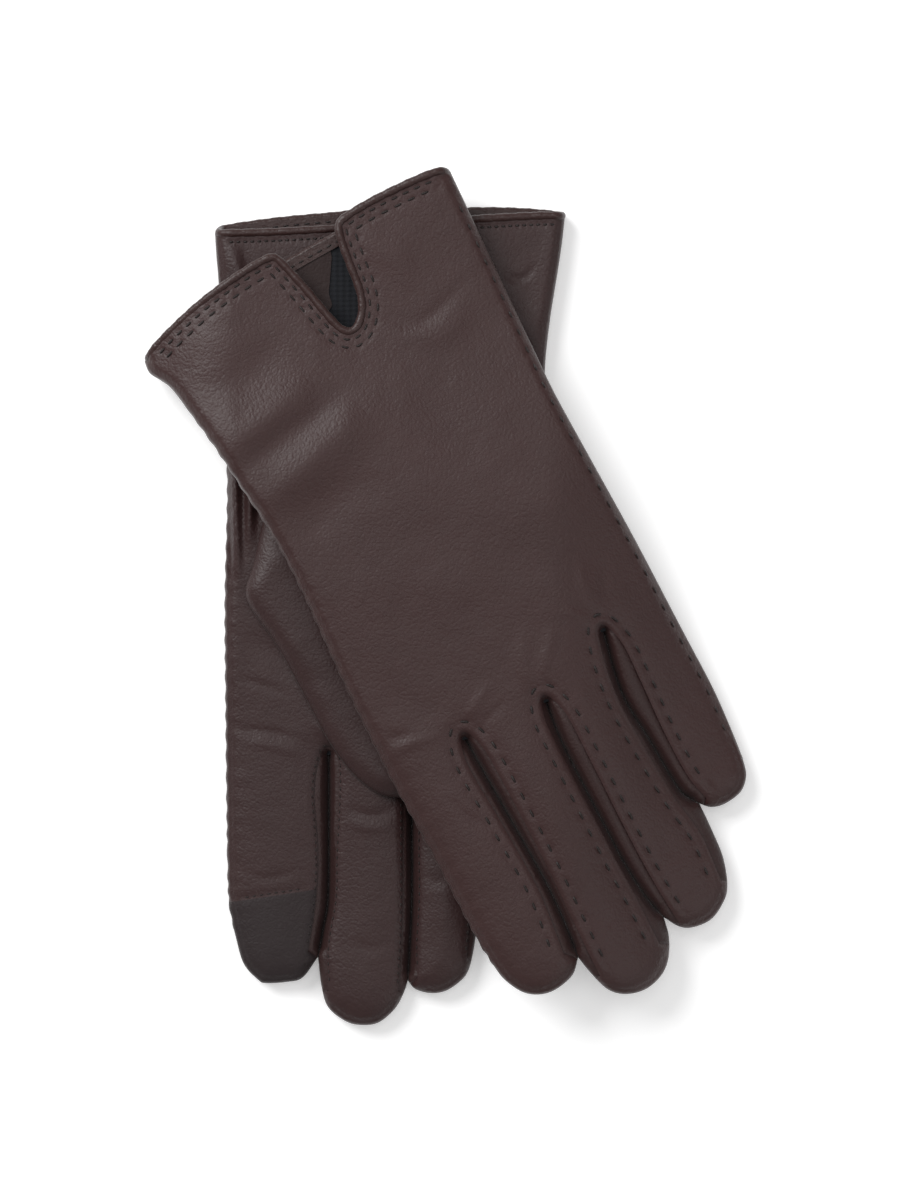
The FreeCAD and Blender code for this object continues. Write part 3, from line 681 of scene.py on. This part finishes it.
SKINS = {
    "left": leather("left_leather", (0.0290, 0.0118, 0.0110), (0.0440, 0.0190, 0.0180), 0.45),
    "right": leather("right_leather", (0.0235, 0.0098, 0.0094), (0.0370, 0.0165, 0.0160), 0.45),
}
PANELS = {}
for glove in (RIGHT, LEFT):
    for side in (1, -1):
        cuts = finger_cuts(glove)
        palm = (glove["up"] == "palm") == (side > 0)
        if palm:
            cuts.append(TOUCH_CUT)
        rows = [row[0] for row in glove["rows"]] if side > 0 else ()
        uv, faces = filled(panel_loop(glove, side), 1.05 if side > 0 else 1.5, cuts, rows)
        points, faces, normals = outside(glove, uv, faces, side)
        middle = uv[faces].mean(1)
        owner = finger_of(glove, middle)
        if palm:
            (u, v), slope = TOUCH_CUT
            patch = (owner == 0) & (middle[:, 1] > v + slope * (middle[:, 0] - u))
            owner = np.where(patch, TOUCH, owner)
        PANELS[glove["name"], side] = (points, faces, normals, owner)

for glove in (RIGHT, LEFT):
    name = glove["name"]
    for side in (1, -1):
        points, faces, normals, owner = PANELS[name, side]
        part = "palm" if (glove["up"] == "palm") == (side > 0) else "back"
        made = sheet_of(points, faces[owner == HAND], normals, SKIN)
        piece = make_piece(f"{name}_{part}_leather", *made, SKINS[name])
        fasten(piece, glove, "hand", f"{part}_panel")
    for n, finger in enumerate(FINGERS):
        sheets = [sheet_of(p, f[o == n], q, SKIN) for p, f, q, o in
                  (PANELS[name, 1], PANELS[name, -1])]
        piece = make_piece(f"{name}_{finger}_leather", *joined(*sheets), SKINS[name])
        fasten(piece, glove, finger, f"{finger}_stall")

# ---------------------------------------------------------------- touch patches
# The palm side of each index fingertip is a separate piece of charcoal leather with a
# conductive coating, set in with a seam across the finger. It is duller and smoother.
touch_leather = leather("touch_leather", (0.0140, 0.0078, 0.0084), (0.0220, 0.0136, 0.0142), 0.58)
for glove in (RIGHT, LEFT):
    name = glove["name"]
    side = 1 if glove["up"] == "palm" else -1
    points, faces, normals, owner = PANELS[name, side]
    sheet = sheet_of(points, faces[owner == TOUCH], normals, SKIN)
    piece = make_piece(f"{name}_touch_patch", *sheet, touch_leather)
    fasten(piece, glove, "index", "index_touch_panel")

# ------------------------------------------------------------------- fourchettes
# Narrow strips of the same leather between the fingers give each one its depth. They
# meet in a small rounded fork at the bottom of every gap, a little below the panels.
STRIP = 0.64
# The strips' colour is darker than the gloves' leather: painted shade for the gaps between the
# fingers. The mottle in it is the leather's own.
gusset_leather = leather("gusset_leather", (0.0215, 0.0085, 0.0080), (0.0330, 0.0140, 0.0130), 0.50)
FORKS = ["index_middle", "middle_ring", "ring_little"]
STRIPS = [("index_gusset", "middle_gusset_index"), ("middle_gusset_ring", "ring_gusset_middle"),
          ("ring_gusset_little", "little_gusset")]


def gap_loop(glove, n):
    """The closed edge of the leather between two fingers, a long narrow U."""
    seam = glove["seam_lines"][n]
    before, after = finger_tip(glove, n), finger_tip(glove, n + 1)
    first, last = nearest(before, seam[0]) - 1, nearest(after, seam[-1]) + 2
    gap = curve(glove["gaps"][n])
    under = offset_line(seam, 0.6)
    return np.vstack([before[first:-1], gap - HAIR, gap[::-1] + HAIR, after[1:last], under[::-1]])


for glove in (RIGHT, LEFT):
    name = glove["name"]
    for n, (low, high) in enumerate(STRIPS):
        cuts = []
        line = curve(glove["gaps"][n])[::-1]
        for finger, inward in ((FINGERS[n], -1.2), (FINGERS[n + 1], 1.2)):
            level = glove["knuckle"][finger] - CUT_BACK
            cuts.append(((np.interp(level, line[:, 1], line[:, 0]) + inward, level), 0.0))
        uv, faces = filled(gap_loop(glove, n), 0.9, cuts)
        points, faces, normals = outside(glove, uv, faces, 1, "fork")
        owner = finger_of(glove, uv[faces].mean(1))
        made = sheet_of(points, faces[owner == HAND], normals, STRIP)
        piece = make_piece(f"{name}_fork_{FORKS[n]}", *made, gusset_leather)
        fasten(piece, glove, "hand", f"gusset_{FORKS[n]}")
        for finger, node in ((n, low), (n + 1, high)):
            made = sheet_of(points, faces[owner == finger], normals, STRIP)
            end = "low" if finger > n else "high"
            piece = make_piece(f"{name}_{FINGERS[finger]}_fourchette_{end}", *made, gusset_leather)
            fasten(piece, glove, FINGERS[finger], node)

# -------------------------------------------------------------------- cuff rolls
# The cuff's raw edge is wrapped in a narrow strip of leather, rolled over it and sewn
# down, which leaves a soft round bead. It follows the notch in the back of the cuff.
BEAD_WIDE, BEAD_HIGH, BEAD_SIDES = 1.25, 1.15, 14
BEAD_SINK = 0.45                   # the bead's middle lies this far below the outside
LEG_START, LEG_END = 1.1, 4.4      # the strip's inner leg, from the cuff's edge
LEG_THICK = 0.35
binding_leather = leather("binding_leather", (0.0250, 0.0105, 0.0095), (0.0400, 0.0180, 0.0160),
                          0.40)


def cuff_line(glove, side, inset=0.0):
    back = (glove["up"] == "back") == (side > 0)
    line = curve(glove["cuff_back" if back else "cuff_palm"], 0.7)
    return offset_line(line, -inset) if inset else line


def bead(centre, outward):
    """A closed roll swept along centre, wider in the outward direction."""
    ahead = np.roll(centre, -1, axis=0) - np.roll(centre, 1, axis=0)
    ahead /= np.linalg.norm(ahead, axis=1)[:, None]
    outward = outward - (outward * ahead).sum(1)[:, None] * ahead
    outward /= np.linalg.norm(outward, axis=1)[:, None]
    above = np.cross(ahead, outward)
    count = len(centre)
    run = np.cumsum(np.linalg.norm(np.roll(centre, -1, axis=0) - centre, axis=1))
    swell = 1 + 0.05 * np.sin(run * 1.15) + 0.035 * np.sin(run * 2.9 + 1)
    angle = np.arange(BEAD_SIDES) * 2 * math.pi / BEAD_SIDES
    ring = (np.cos(angle)[:, None, None] * outward * BEAD_WIDE
            + np.sin(angle)[:, None, None] * above * BEAD_HIGH) * swell[:, None]
    points = (centre + ring).transpose(1, 0, 2).reshape(-1, 3)
    faces = []
    for k in range(count):
        for m in range(BEAD_SIDES):
            a, b = k * BEAD_SIDES + m, k * BEAD_SIDES + (m + 1) % BEAD_SIDES
            c = ((k + 1) % count) * BEAD_SIDES
            faces += [(a, c + m, b), (b, c + m, c + (m + 1) % BEAD_SIDES)]
    faces = np.array(faces)
    normals = corner_normals(points, faces)
    if ((points - np.repeat(centre, BEAD_SIDES, 0)) * normals).sum() < 0:
        faces, normals = faces[:, ::-1], -normals
    return points, faces, normals


def within_glove(glove, line, side, room):
    """The part of a line that keeps clear of a glove's edge."""
    return line[inside(line, panel_loop(glove, side)) & (distance(line, glove["rim"]) > room)]


def inner_loops(glove, side, start, end):
    """The closed edge of a band inside one side of a glove's cuff."""
    lines = []
    for inset in (start, end):
        line = cuff_line(glove, side, inset)
        line = line[distance(line, cuff_line(glove, side)) > inset - 0.05]
        lines.append(within_glove(glove, line, side, 1.8))
    return np.vstack([lines[0], lines[1][::-1]])


def band(glove, loop, side, below, thick):
    """A sheet inside one side of a glove, below its outside by the given amount."""
    uv, faces = filled(loop, 1.3)
    faces = faces[inside(uv[faces].mean(1), panel_loop(glove, side))]
    points = np.column_stack([table_place(glove, uv), surface(glove, uv, side) - side * below])
    faces = faces[:, ::-1] if side > 0 else faces
    return sheet_of(points, faces, corner_normals(points, faces), thick)


for glove in (RIGHT, LEFT):
    path, outward = [], []
    for side in (1, -1):
        line = cuff_line(glove, side)
        out = rightward(line)
        centre = np.column_stack([table_place(glove, line - BEAD_WIDE * out),
                                  surface(glove, line, side) - side * BEAD_SINK])
        tilt = table_place(glove, line + out) - table_place(glove, line)
        tilt = np.column_stack([tilt, np.zeros(len(line))])
        order = slice(None) if side > 0 else slice(None, None, -1)
        path.append(centre[order][1:-1])
        outward.append(tilt[order][1:-1])
    path, outward = np.vstack(path), np.vstack(outward)
    for repeat in range(3):
        path = (np.roll(path, 1, axis=0) + 2 * path + np.roll(path, -1, axis=0)) / 4
        outward = (np.roll(outward, 1, axis=0) + 2 * outward + np.roll(outward, -1, axis=0)) / 4
    legs = [band(glove, inner_loops(glove, side, LEG_START, LEG_END), side, SKIN + 0.9, LEG_THICK)
            for side in (1, -1)]
    piece = make_piece(f"{glove['name']}_cuff_roll", *joined(bead(path, outward), *legs),
                       binding_leather)
    fasten(piece, glove, "hand", "cuff_binding")

# ------------------------------------------------------------------- cuff facings
# Behind the roll the inside of the cuff is faced with a band of reddish-brown leather,
# which is what shows through the notch and at the open end of the glove.
FACING_START, FACING_END = 1.4, 13.0
FACING_THICK = 0.22
facing_leather = leather("facing_leather", (0.0126, 0.0045, 0.0040), (0.0198, 0.0075, 0.0066), 0.66)
# The palm side's facing stops short of the notch's right half on the upper glove.
NOTCH_FACING = [(-50.6, 4.6), (-40, 3.0), (-20, -0.6), (0, -1.8), (9.3, -1.9), (9.4, 2.2),
                (7.6, 5.6), (5.4, 9.2), (3.4, 12.6), (2.2, 16.5), (-4, 17.5), (-12, 15.2),
                (-30, 16.5), (-44, 20)]
for glove in (RIGHT, LEFT):
    sheets = []
    for side in (1, -1):
        loop = inner_loops(glove, side, FACING_START, FACING_END)
        if glove["name"] == "left" and side < 0:
            loop = within_glove(glove, curve(NOTCH_FACING + NOTCH_FACING[:1])[:-1], side, 2.6)
        sheets.append(band(glove, loop, side, SKIN + 0.65, FACING_THICK))
    piece = make_piece(f"{glove['name']}_inner_facing", *joined(*sheets), facing_leather)
    fasten(piece, glove, "hand", "cuff_facing")

# --------------------------------------------------------------------- knit linings
# A fine dark knit, cut to the glove's own shape a little smaller, lines the hand and
# every finger. Only the part just inside the cuff can be seen.
KNIT = 0.5
LINING_START = 2.4                 # from the cuff's edge
LINING_INSET = 1.5                 # from the glove's edge
SEAM_ROOM = 1.2                    # more room under seams and sharp folds


def knit(name, dark, light):
    """Fine rib knit: columns of stitches with a soft fuzz."""
    material, tree, shader, place = new_material(name)
    ribs = place.node("ShaderNodeTexWave", {"bands_direction": "X", "wave_profile": "SIN"},
                      Vector=place, Scale=160.0, Distortion=0.6)
    rows = place.node("ShaderNodeTexWave", {"bands_direction": "Y", "wave_profile": "SIN"},
                      Vector=place, Scale=210.0, Distortion=0.8)
    fuzz = place.node("ShaderNodeTexNoise", Vector=place, Scale=1800.0, Detail=3.0)
    weave = ribs * 0.6 + rows * 0.4
    colour = place.node("ShaderNodeMix", {"data_type": "RGBA"}, output=2,
                        i0=weave * 0.7 + fuzz * 0.3, i6=dark + (1,), i7=light + (1,))
    tree.links.new(colour.socket, shader.inputs["Base Color"])
    bump = place.node("ShaderNodeBump", Height=weave + fuzz * 0.5, Strength=0.8, Distance=0.0004)
    tree.links.new(bump.socket, shader.inputs["Normal"])
    shader.inputs["Roughness"].default_value = 0.95
    shader.inputs["Sheen Weight"].default_value = 0.10
    return material


knit_lining = knit("knit_lining", (0.0018, 0.0023, 0.0040), (0.0052, 0.0062, 0.0100))
for glove in (RIGHT, LEFT):
    name = glove["name"]
    sheets = {k: [] for k in (HAND, 0, 1, 2, 3)}
    for side in (1, -1):
        cuff = within_glove(glove, cuff_line(glove, side, LINING_START), side, LINING_INSET)
        outer = trunk(glove, step=1.6)
        small = outer + LINING_INSET * rightward(outer)
        small = small[(distance(small, glove["rim"]) > LINING_INSET - 0.08)
                      & (small[:, 1] > cuff[[0, -1], 1].max() + 2)]
        loop = np.vstack([small, cuff[::-1]])
        uv, faces = filled(loop, 2.4, finger_cuts(glove))
        sharp = [np.array(line) for line, width, height in FOLDS[name] if height < -0.75]
        seam = np.minimum.reduce([distance(uv, line) for line in glove["seam_lines"] + sharp])
        below = SKIN + 0.1 + SEAM_ROOM * (1 - ease((seam - 2) / 4))
        points = np.column_stack([table_place(glove, uv), surface(glove, uv, side) - side * below])
        faces = faces[:, ::-1] if side > 0 else faces
        normals = corner_normals(points, faces)
        owner = finger_of(glove, uv[faces].mean(1))
        for k in sheets:
            sheets[k].append(sheet_of(points, faces[owner == k], normals, KNIT))
    for k, both in sheets.items():
        finger = "hand" if k == HAND else FINGERS[k]
        piece = make_piece(f"{name}_{finger}_knit", *joined(*both), knit_lining)
        fasten(piece, glove, finger, f"{finger}_lining")

# -------------------------------------------------------------------------- thumbs
# Each thumb is a tube of the same leather, sewn into the palm and folded flat across
# it. Its seam runs round the edge. The one on the upper glove is under the palm.
THUMB_ON_PALM = 9.6                # height of the right thumb's underside
THUMB_UNDER = 7.2                  # the left one's, below the middle of its glove
THUMB_SEAM = 0.9                   # its edge seam stands this much above that
# edge line, axis, height, edge radius, and the knit's inset and thickness
THUMBS = {
    "right": {
        "edge": [(-35.2, 80), (-38.2, 90), (-41.2, 103), (-43.4, 110.4), (-41.6, 116.2),
                 (-34.2, 126.8), (-26.2, 141.4), (-18.9, 155), (-11.6, 165.2), (-3.8, 171.4),
                 (3.2, 172.6), (9.6, 169.6), (12.9, 162), (11.8, 152), (5.5, 140), (-3.5, 122),
                 (-12, 105), (-20, 90), (-27.5, 79.5)],
        "base": (-33.9, 105.2), "tip": (0.0, 159.5), "crown": 5.0, "round": 6.5,
        "knit": (1.1, 0.35),
    },
    "left": {
        "edge": [(-33.5, 95), (-38.5, 104), (-38, 112), (-29, 127), (-20, 141), (-12, 156),
                 (-5, 166), (2, 169.5), (9, 166), (11.4, 158), (8, 147), (0, 131), (-10, 113),
                 (-19, 98), (-26, 92.5)],
        "base": (-31.0, 109.0), "tip": (-0.5, 158.5), "crown": 2.5, "round": 8.0,
        "knit": (0.9, 0.2),
    },
}


def thumb_loop(glove, shrink=0.0):
    edge = curve(THUMBS[glove["name"]]["edge"] + THUMBS[glove["name"]]["edge"][:1])[:-1]
    if not shrink:
        return edge
    within = rightward(edge, True)
    within *= 1 if inside(edge[:1] + 0.1 * within[:1], edge)[0] else -1
    small = edge + shrink * within
    return small[distance(small, edge, True) > shrink * 0.97]


def thumb_height(glove, uv, side, inset):
    """Height of a thumb's upper or lower side: flat below and domed above."""
    thumb = THUMBS[glove["name"]]
    d = distance(uv, thumb_loop(glove), True)
    low = np.full(len(uv), THUMB_ON_PALM)
    if glove["name"] == "left":
        low = middle_height(glove, uv) - THUMB_UNDER
    t = rounded(d / thumb["round"])
    if side < 0:
        return low + THUMB_SEAM * (1 - t) + inset
    base, tip = np.array(thumb["base"]), np.array(thumb["tip"])
    run = (uv - base) @ (tip - base) / np.linalg.norm(tip - base)
    rise = 0.35 + 0.65 * ease((run + 26) / 26) if glove["name"] == "right" else 1.0
    xy = table_place(glove, uv)
    soft = 0.3 * ease(d / 5) * ripple(xy, 14, 5) + 0.12 * ease(d / 3) * ripple(xy, 5, 15)
    return low + THUMB_SEAM + (thumb["crown"] - THUMB_SEAM) * t * rise + soft - inset


for glove in (RIGHT, LEFT):
    name = glove["name"]
    base, tip = np.array(THUMBS[name]["base"]), np.array(THUMBS[name]["tip"])
    ahead = (tip - base) / np.linalg.norm(tip - base)
    ends = table_place(glove, np.array([base - 2 * ahead, base + 16 * ahead])) * MM
    level = next(j["pos_m"][2] for j in frame["joints"] if j["child"] == f"{name}_thumb")
    glove["bends"]["thumb"] = tuple((p[0], p[1], level) for p in ends)
    for part, word, (inset, thick), spacing, material, slot in (
            ("stall", "leather", (0.0, SKIN), 1.0, SKINS[name], f"{name}_leather"),
            ("lining", "knit", THUMBS[name]["knit"], 2.2, knit_lining, "knit_lining")):
        sheets = []
        for side in (1, -1):
            uv, faces = filled(thumb_loop(glove, inset), spacing)
            points = np.column_stack([table_place(glove, uv), thumb_height(glove, uv, side, inset)])
            faces = faces[:, ::-1] if side > 0 else faces
            sheets.append(sheet_of(points, faces, corner_normals(points, faces), thick))
        piece = make_piece(f"{name}_thumb_{word}", *joined(*sheets), material)
        fasten(piece, glove, "thumb", f"thumb_{part}")

# ------------------------------------------------------------------------- stitches
# Waxed thread a shade darker than the leather. Running stitches hold the fourchettes
# and close round each fork, two rows hold the cuff, and one runs down the outer edge.
STITCH_RINGS = 7
STITCH_SIDES = 8
# inset, pitch, length and thickness of the row on the binding's inner leg
LEG_ROW = (3.0, 3.2, 2.0, 0.5)


def spun(name, dark, light):
    """Twisted thread, a shade darker than the leather, with a dull shine."""
    material, tree, shader, place = new_material(name)
    twist = place.node("ShaderNodeTexWave", {"bands_direction": "DIAGONAL"}, Vector=place,
                       Scale=900.0, Distortion=0.5)
    colour = place.node("ShaderNodeMix", {"data_type": "RGBA"}, output=2,
                        i0=twist, i6=dark + (1,), i7=light + (1,))
    tree.links.new(colour.socket, shader.inputs["Base Color"])
    bump = place.node("ShaderNodeBump", Height=twist, Strength=0.6, Distance=0.0001)
    tree.links.new(bump.socket, shader.inputs["Normal"])
    shader.inputs["Roughness"].default_value = 0.6
    return material


thread = spun("thread", (0.0050, 0.0018, 0.0014), (0.0130, 0.0052, 0.0040))


def stitches(glove, line, pitch, length, thick, side=1, lift=0.0):
    """One row of stitches along a line, lying on one side's outside or above it."""
    run = np.concatenate([[0], np.cumsum(np.linalg.norm(np.diff(line, axis=0), axis=1))])
    starts = np.arange(pitch * 0.3, run[-1] - length, pitch)
    sheets, middles = [], []
    s = np.linspace(-1, 1, STITCH_RINGS)
    for start in starts:
        at = start + (s + 1) / 2 * length
        uv = np.column_stack([np.interp(at, run, line[:, k]) for k in (0, 1)])
        z = surface(glove, uv, side) + lift
        z = 0.4 * z.max() + 0.6 * z
        centre = np.column_stack([table_place(glove, uv), z + 0.14 - 0.5 * np.abs(s) ** 3])
        ahead = np.gradient(centre, axis=0)
        ahead /= np.linalg.norm(ahead, axis=1)[:, None]
        across = np.cross(ahead, [0, 0, 1.0])
        across /= np.linalg.norm(across, axis=1)[:, None]
        above = np.cross(across, ahead)
        wide = thick / 2 * np.maximum(1 - np.abs(s) ** 4, 0.12) ** 0.5
        angle = np.arange(STITCH_SIDES) * 2 * math.pi / STITCH_SIDES
        ring = wide[:, None, None] * (np.cos(angle)[:, None] * across[:, None]
                                      + np.sin(angle)[:, None] * above[:, None])
        points = (centre[:, None] + ring).reshape(-1, 3)
        faces = []
        for k in range(STITCH_RINGS - 1):
            for m in range(STITCH_SIDES):
                a, b = k * STITCH_SIDES + m, k * STITCH_SIDES + (m + 1) % STITCH_SIDES
                faces += [(a, b, a + STITCH_SIDES), (b, b + STITCH_SIDES, a + STITCH_SIDES)]
        for m in range(1, STITCH_SIDES - 1):
            faces.append((0, m + 1, m))
            end = (STITCH_RINGS - 1) * STITCH_SIDES
            faces.append((end, end + m, end + m + 1))
        faces = np.array(faces)
        normals = corner_normals(points, faces)
        if ((points - points.mean(0)) * normals).sum() < 0:
            faces, normals = faces[:, ::-1], -normals
        sheets.append((points, faces, normals))
        middles.append(uv[STITCH_RINGS // 2])
    return sheets, np.array(middles)


for glove in (RIGHT, LEFT):
    name = glove["name"]
    inner = within_glove(glove, cuff_line(glove, -1, LEG_ROW[0]), -1, 3.0)
    rows = glove["rows"] + [(inner, *LEG_ROW[1:], -1, SKIN + 1.2)]
    sheets = {k: [] for k in (HAND, 0, 1, 2, 3)}
    for row in rows:
        made, middles = stitches(glove, *row)
        for sheet, owner in zip(made, finger_of(glove, middles)):
            sheets[owner].append(sheet)
    for k, group in sheets.items():
        finger = "hand" if k == HAND else FINGERS[k]
        piece = make_piece(f"{name}_{finger}_thread", *joined(*group), thread)
        fasten(piece, glove, finger, f"{finger}_stitching")

# --------------------------------------------------------- floor, lights and camera
# A plain pale floor, soft lights above and a camera that looks straight down.
bpy.ops.mesh.primitive_plane_add(size=6, location=(0, 0, -0.0005))
floor = bpy.context.object
floor.name = "floor"
paper = bpy.data.materials.new("paper")
paper.use_nodes = True
paper_shader = paper.node_tree.nodes["Principled BSDF"]
paper_shader.inputs["Base Color"].default_value = (0.95, 0.95, 0.95, 1)
paper_shader.inputs["Emission Color"].default_value = (1, 1, 1, 1)
paper_shader.inputs["Emission Strength"].default_value = 0.27
paper_shader.inputs["Roughness"].default_value = 0.9
floor.data.materials.append(paper)
floor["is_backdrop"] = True

world = bpy.data.worlds.new("studio")
world.use_nodes = True
world.node_tree.nodes["Background"].inputs["Color"].default_value = (1, 1, 1, 1)
world.node_tree.nodes["Background"].inputs["Strength"].default_value = 0.37
bpy.context.scene.world = world


def soft_light(name, place, size, power):
    bpy.ops.object.light_add(type="AREA", location=place)
    light = bpy.context.object
    light.name = name
    light.data.shape = "DISK"
    light.data.size = size
    light.data.energy = power
    light.rotation_euler = (-Vector(place)).to_track_quat("-Z", "Y").to_euler()


soft_light("key", (-0.88, 0.84, 1.12), 1.0, 22)
soft_light("fill", (1.1, -0.5, 1.2), 1.0, 4)
soft_light("top", (0.1, 0.3, 2.0), 1.0, 5)

CAMERA_HEIGHT = 1.6
bpy.ops.object.camera_add(location=(0.00195, -0.00105, CAMERA_HEIGHT), rotation=(0, 0, 0))
camera = bpy.context.object
camera.data.sensor_width = 36
camera.data.lens = 36 * (CAMERA_HEIGHT - 0.012) / 0.36
camera.data.clip_end = 20
bpy.context.scene.camera = camera
bpy.context.scene.view_settings.view_transform = "Standard"

bpy.context.view_layer.update()
low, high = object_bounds()
